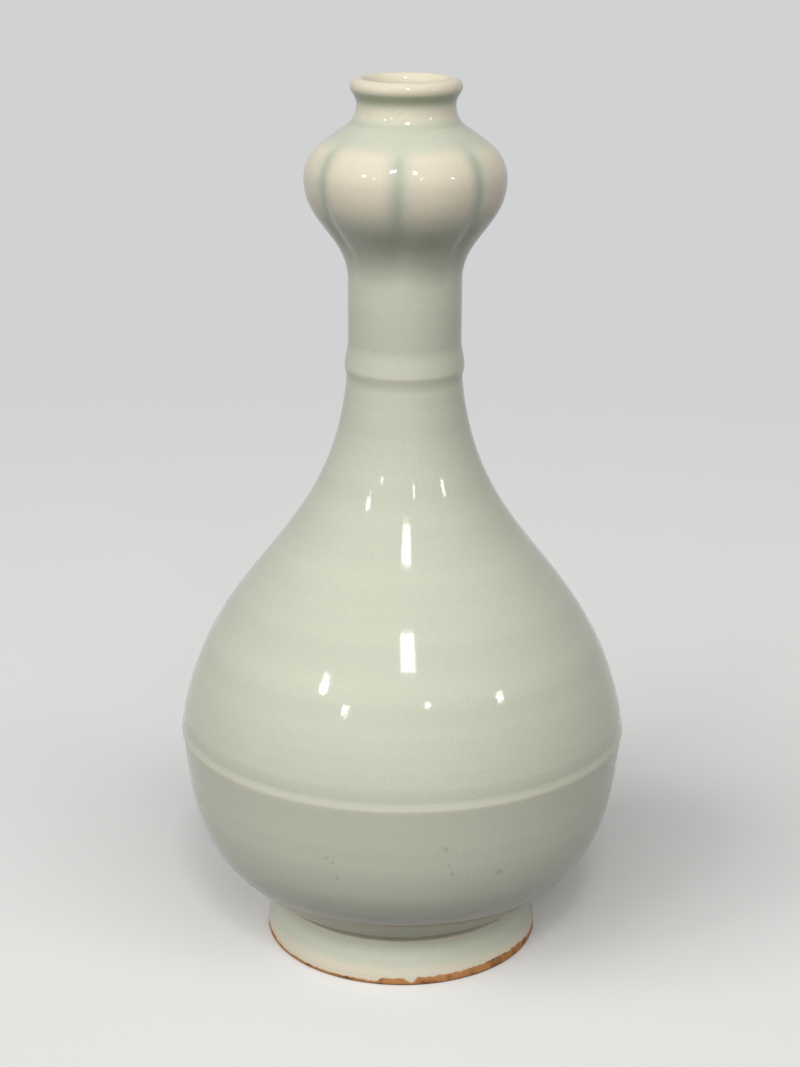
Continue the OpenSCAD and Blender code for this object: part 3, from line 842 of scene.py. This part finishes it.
# %% Garlic head
HEAD_SEGMENTS = 392
sleeve_r = 15
head_wall = 5
groove_depth = 0.8
groove_w = 5.4
clove_swell = 0.4
front = -90
groove_left = 4
opening_r = sleeve_r + slip_t
chamber = [
    p for p in inner_face(head_curve, neck_r - neck_bore_r, head_wall)[::-2]
    if p[1] > head_seam_z + lap_h + slip_t and (p[1] < head_wide[1] or p[0] > opening_r)]
head_skin = [(neck_r, head_seam_z + slip_t / 2)] + head_curve
head_rest = (
    [(head_top_r - cover_t, mouth_seam_z + slip_t / 2), (head_top_r - 2 * cover_t, mouth_seam_z)]
    + [(opening_r, mouth_seam_z), (opening_r, chamber[0][1])] + chamber + seam_above(*head_seam))
throw(
    "garlic_head_glazed", head_skin, head_rest, celadon, "garlic_head", "head_glaze", HEAD_SEGMENTS,
    **{"Groove depth": groove_depth * MM, "Groove width": groove_w * MM,
       "Clove swell": clove_swell * MM, "Groove turn": radians(front - groove_left),
       "Grooves from": head_low_z * MM, "Grooves to": mouth_seam_z * MM})

# %% [markdown]
# The mouth is the collar with its rolled lip, on a sleeve that sits in the head.

# %% Mouth rim
mouth_rest = [(throat_r, sleeve_z), (sleeve_r, sleeve_z), (sleeve_r, mouth_low_z),
              (head_top_r - 2 * cover_t, mouth_low_z)]
throw("mouth_rim_glazed", mouth_skin, mouth_rest, celadon, "mouth_rim", "lip_glaze")

# %% [markdown]
# The slip in the seams. Three rings fill the lapped seams, and two fill the gap around a spigot: the
# base disc in the foot and the sleeve in the head.

# %% Slip rings
SLIP_SEGMENTS = 96

for name, (z, bore_r, outer_r) in (
        ("belly_slip", belly_seam), ("neck_slip", neck_seam), ("head_slip", head_seam)):
    under_r = outer_r - cover_t
    r = tongue_r(bore_r, outer_r)
    ring = [(under_r, z), (under_r, z + slip_t), (r + slip_t, z + slip_t), (r + slip_t, z + lap_h + slip_t),
            (bore_r, z + lap_h + slip_t), (bore_r, z + lap_h), (r, z + lap_h), (r, z)]
    throw(name + "_fired", ring, [], slip, name, "luting_slip", SLIP_SEGMENTS)

for name, z, spigot_r, low_z, outer_r in (
        ("foot_slip", foot_top_z, base_r, base_z, bowl_low_r),
        ("mouth_slip", mouth_seam_z, sleeve_r, sleeve_z, head_top_r)):
    bore_r = spigot_r + slip_t
    under_r = outer_r - 2 * cover_t
    ring = [(spigot_r, low_z), (bore_r, low_z), (bore_r, z),
            (under_r, z), (under_r, z + slip_t), (spigot_r, z + slip_t)]
    throw(name + "_fired", ring, [], slip, name, "luting_slip", SLIP_SEGMENTS)

# %% [markdown]
# The set. The floor is pale and matt around the vase, so that it keeps the shadow. Further out it
# turns into an even pale tone for the camera and for mirror reflections, and the world behind it
# has the same tone, so no horizon shows. Light that bounces off it is weaker than its look, so the
# underside of the bowl stays in shade.

# %% Floor and world
PALE = "#D1D2D3"
PAPER = "#F2F2F1"
BOUNCE = "#484848"
FLOOR_R = 12
TONE_FROM = 0.25
TONE_TO = 0.9
SKY = "#FFFDF8"
SKY_STRENGTH = 0.14


def seen_directly(tree):
    """1 for rays from the camera, from a mirror reflection or through glass, and 0 for light."""
    path = add(tree, "ShaderNodeLightPath").node.outputs
    either = add(
        tree, "ShaderNodeMath", {0: path["Is Camera Ray"], 1: path["Is Glossy Ray"]}, operation="MAXIMUM")
    return add(
        tree, "ShaderNodeMath", {0: either, 1: path["Is Transmission Ray"]}, operation="MAXIMUM")


floor_paper, tree = new_material("pale_paper_floor")
where = add(tree, "ShaderNodeTexCoord", out="Object")
distance = add(tree, "ShaderNodeVectorMath", {0: where}, out="Value", operation="LENGTH")
far = add(tree, "ShaderNodeMapRange", {
    "Value": distance, "From Min": TONE_FROM, "From Max": TONE_TO}, interpolation_type="SMOOTHSTEP")
seen = seen_directly(tree)
toned = add(tree, "ShaderNodeMath", {0: far, 1: seen}, operation="MULTIPLY")
paper = add(
    tree, "ShaderNodeMix", {0: seen, 6: linear(BOUNCE), 7: linear(PAPER)}, out=2, data_type="RGBA")
matt = add(tree, "ShaderNodeBsdfDiffuse", {"Color": paper})
tone = add(tree, "ShaderNodeEmission", {"Color": linear(PALE)})
mixed = add(tree, "ShaderNodeMixShader", {0: toned, 1: matt, 2: tone})
add(tree, "ShaderNodeOutputMaterial", {"Surface": mixed})

floor_mesh = bpy.data.meshes.new("floor")
floor_mesh.from_pydata(
    [(-FLOOR_R, -FLOOR_R, 0), (FLOOR_R, -FLOOR_R, 0), (FLOOR_R, FLOOR_R, 0), (-FLOOR_R, FLOOR_R, 0)],
    [], [(0, 1, 2, 3)])
floor_mesh.materials.append(floor_paper)
floor = bpy.data.objects.new("floor", floor_mesh)
bpy.context.scene.collection.objects.link(floor)

world = bpy.data.worlds.new("pale_studio")
world.use_nodes = True
world.node_tree.nodes.clear()
tree = world.node_tree
soft = add(tree, "ShaderNodeBackground", {"Color": linear(SKY), "Strength": SKY_STRENGTH})
tone = add(tree, "ShaderNodeBackground", {"Color": linear(PALE), "Strength": 1.0})
mixed = add(tree, "ShaderNodeMixShader", {0: seen_directly(tree), 1: soft, 2: tone})
add(tree, "ShaderNodeOutputWorld", {"Surface": mixed})
bpy.context.scene.world = world
bpy.context.scene.view_settings.view_transform = "Standard"
print("floor", 2 * FLOOR_R, "m wide")

# %% [markdown]
# The lamps. A gloss shows its lamps, so small ones stand where their highlights on the vase need
# them: a soft box high in front, a strip at the left and three spots. They add little light. The
# light itself comes from three wide washes, high and all round the front, that make no highlight.
# Directions are seen from the camera: right, then up.

# %% Lamps
AIM = Vector((0, 0, 0.14))
NEAR = 3.0
FAR_OFF = 12.0
GLINT = 14
WATTS = 4  # for each square metre of a lamp whose face has a brightness of one


def lamp(name, right, up, wide, tall, brightness, distance=NEAR, highlight=True):
    """A rectangular lamp in a direction, with its width and height as angles, in degrees."""
    level = cos(radians(up))
    toward = Vector((sin(radians(right)) * level, -cos(radians(right)) * level, sin(radians(up))))
    light = bpy.data.lights.new(name, "AREA")
    light.shape = "RECTANGLE"
    light.size = radians(wide) * distance
    light.size_y = radians(tall) * distance
    light.energy = WATTS * light.size * light.size_y * brightness
    made = bpy.data.objects.new(name, light)
    facing = toward.to_track_quat("Z", "Y").to_matrix().to_4x4()
    made.matrix_world = Matrix.Translation(AIM + toward * distance) @ facing
    made.visible_glossy = highlight
    bpy.context.scene.collection.objects.link(made)
    print(name, round(light.energy, 2), "W")


lamp("soft_box", 4, 47, 7, 10, GLINT)
lamp("strip", -50, 31, 4, 6, GLINT)
lamp("spot_right", 59, 24, 4, 4, GLINT)
lamp("spot_left", -33, 25, 3, 3, GLINT)
lamp("spot_middle", 15, 30, 2.5, 2.5, GLINT)
lamp("wash_left", -55, 40, 40, 24, 3.35, FAR_OFF, highlight=False)
lamp("wash_front", -8, 40, 44, 24, 3.1, FAR_OFF, highlight=False)
lamp("wash_right", 42, 40, 36, 24, 1.95, FAR_OFF, highlight=False)

# %% [markdown]
# The camera stands in front of the vase and a little above it, with a medium long lens. Its tilt,
# and a slight roll and turn, were worked out from the ellipses of the foot, the strings and the lip.

# %% Camera
CAMERA_AT = Vector((0, -0.66466, 0.35475))
TILT_DOWN = 18.139
TURN_LEFT = 0.0944
ROLL = 0.3433
LENS = 74.16
SENSOR = 36

camera_data = bpy.data.cameras.new("camera")
camera_data.sensor_fit = "VERTICAL"
camera_data.sensor_height = SENSOR
camera_data.lens = LENS
camera = bpy.data.objects.new("camera", camera_data)
camera.matrix_world = (
    Matrix.Translation(CAMERA_AT)
    @ Matrix.Rotation(radians(TURN_LEFT), 4, "Z")
    @ Matrix.Rotation(radians(90 - TILT_DOWN), 4, "X")
    @ Matrix.Rotation(radians(ROLL), 4, "Z"))
bpy.context.scene.collection.objects.link(camera)
bpy.context.scene.camera = camera
print("lens", LENS, "mm")
